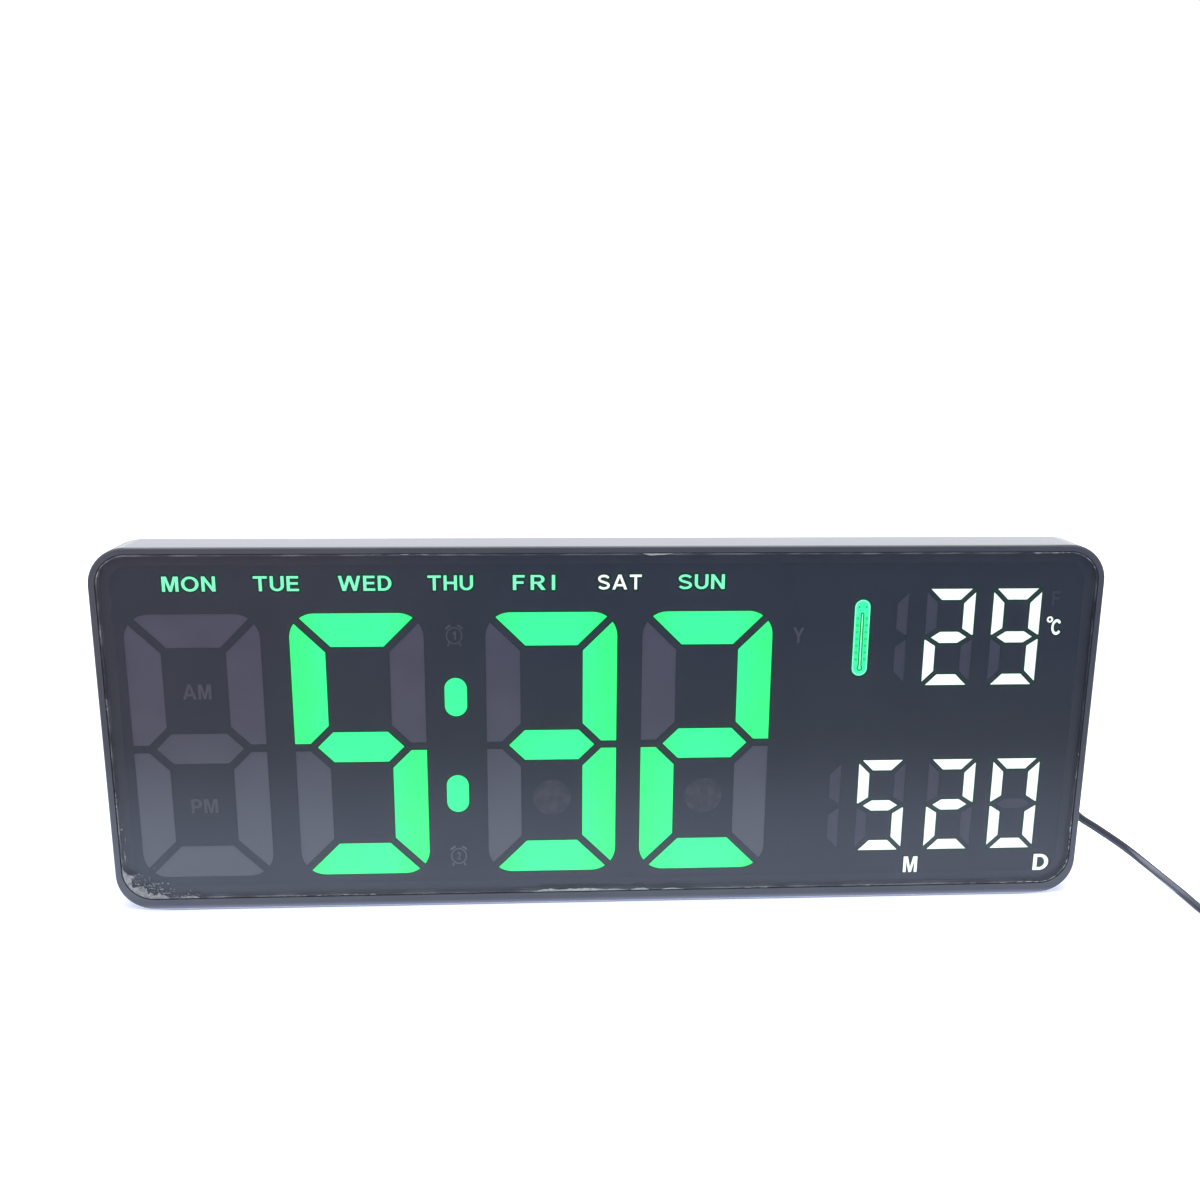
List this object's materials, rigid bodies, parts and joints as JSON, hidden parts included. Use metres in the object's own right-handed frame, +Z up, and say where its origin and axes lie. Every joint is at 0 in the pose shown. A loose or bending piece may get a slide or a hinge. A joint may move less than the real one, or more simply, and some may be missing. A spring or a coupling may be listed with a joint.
{
  "type": "digital LED clock",
  "caption": "Wide desk or wall LED clock: thin black case, smoked front panel, glowing segment digits, swing-out feet, rear keys, battery cap and coiled USB lead.",
  "frame": {"origin": "on the table, in the middle of the footprint of the case with its feet swung out; the lead is left out", "axes": "+X to the right seen from the front, +Y from the front panel to the back, +Z up"},
  "size_m": [0.4591, 0.1303, 0.136],
  "materials": {
    "black_case": "satin moulded black plastic",
    "button_plastic": "satin dark grey plastic",
    "smoked_panel": "polished smoked acrylic, see-through",
    "tape": "dull black adhesive tape",
    "film_black": "black printed film",
    "white_reflector": "matt white moulding",
    "lit_green": "glowing milky diffuser",
    "lit_white": "glowing milky diffuser",
    "unlit_segment": "milky diffuser, dark",
    "light_guide": "milky diffuser behind the film",
    "sensor_window": "dark filter window",
    "board_green": "solder mask",
    "led": "chip resin",
    "chip_black": "moulded resin",
    "sensor_face": "resin face",
    "steel": "zinc plated",
    "connector_ivory": "moulded nylon",
    "capacitor_sleeve": "shrink sleeve",
    "wire_red": "wire sheath",
    "pad_rubber": "matt rubber",
    "lead_sheath": "smooth soft sheath",
    "plug_black": "moulded grip",
    "plug_metal": "bright plated sheet",
    "tongue_white": "moulded insulator",
    "tie_fabric": "woven hook-and-loop strap"
  },
  "bodies": {
    "case": {"front_frame": "black_case", "front_panel": "smoked_panel", "panel_tape": "tape", "mask_film": "film_black", "reflector": "white_reflector", "hour_tens_segments": "unlit_segment", "hour_units_lit": "lit_green", "hour_units_unlit": "unlit_segment", "minute_tens_lit": "lit_green", "minute_tens_unlit": "unlit_segment", "minute_units_lit": "lit_green", "minute_units_unlit": "unlit_segment", "colon_dots": "lit_green", "temperature_lit": "lit_white", "temperature_unlit": "unlit_segment", "date_lit": "lit_white", "date_unlit": "unlit_segment", "thermometer_window": "lit_green", "weekday_guides": "light_guide", "legend_guides": "light_guide", "sensor_windows": "sensor_window", "circuit_board": "board_green", "led_chips": "led", "controller_chip": "chip_black", "driver_chips": "chip_black", "clock_crystal": "steel", "buzzer": "chip_black", "ir_receiver": "chip_black", "light_sensor": "sensor_face", "temperature_sensor": "chip_black", "capacitors": "capacitor_sleeve", "tact_switches": "chip_black", "coin_cell_holder": "connector_ivory", "coin_cell": "steel", "power_connector": "connector_ivory", "power_wires": "wire_red", "back_cover": "black_case", "cover_screws": "steel", "board_screws": "steel", "left_foot_pin": "steel", "right_foot_pin": "steel", "lead_grommet": "lead_sheath", "power_lead": "lead_sheath", "lead_coil": "lead_sheath", "lead_tail": "lead_sheath", "coil_tie": "tie_fabric", "usb_plug_grip": "plug_black", "usb_plug_shell": "plug_metal", "usb_plug_tongue": "tongue_white"},
    "left_foot": {"left_foot": "black_case", "left_foot_pad": "pad_rubber"},
    "right_foot": {"right_foot": "black_case", "right_foot_pad": "pad_rubber"},
    "mode_key": {"button_mode": "button_plastic"},
    "up_key": {"button_up": "button_plastic"},
    "down_key": {"button_down": "button_plastic"},
    "alarm_key": {"button_alarm": "button_plastic"},
    "dimmer_key": {"button_dimmer": "button_plastic"},
    "battery_door": {"battery_cap": "black_case"}
  },
  "joints": [
    {"name": "left_foot_hinge", "type": "hinge", "parent": "case", "child": "left_foot", "pos_m": [-0.115, -0.0138, 0], "axis": [0, 0, -1], "range_deg": [0, 90]},
    {"name": "right_foot_hinge", "type": "hinge", "parent": "case", "child": "right_foot", "pos_m": [0.115, -0.0138, 0], "axis": [0, 0, 1], "range_deg": [0, 90]},
    {"name": "mode_press", "type": "slide", "parent": "case", "child": "mode_key", "axis": [0, -1, 0], "range_m": [0, 0.0006], "stiffness_N_per_m": 1500},
    {"name": "up_press", "type": "slide", "parent": "case", "child": "up_key", "axis": [0, -1, 0], "range_m": [0, 0.0006], "stiffness_N_per_m": 1500},
    {"name": "down_press", "type": "slide", "parent": "case", "child": "down_key", "axis": [0, -1, 0], "range_m": [0, 0.0006], "stiffness_N_per_m": 1500},
    {"name": "alarm_press", "type": "slide", "parent": "case", "child": "alarm_key", "axis": [0, -1, 0], "range_m": [0, 0.0006], "stiffness_N_per_m": 1500},
    {"name": "dimmer_press", "type": "slide", "parent": "case", "child": "dimmer_key", "axis": [0, -1, 0], "range_m": [0, 0.0006], "stiffness_N_per_m": 1500},
    {"name": "battery_cap_turn", "type": "hinge", "parent": "case", "child": "battery_door", "pos_m": [-0.07, -0.011, 0.076], "axis": [0, 1, 0], "range_deg": [0, 45]}
  ]
}
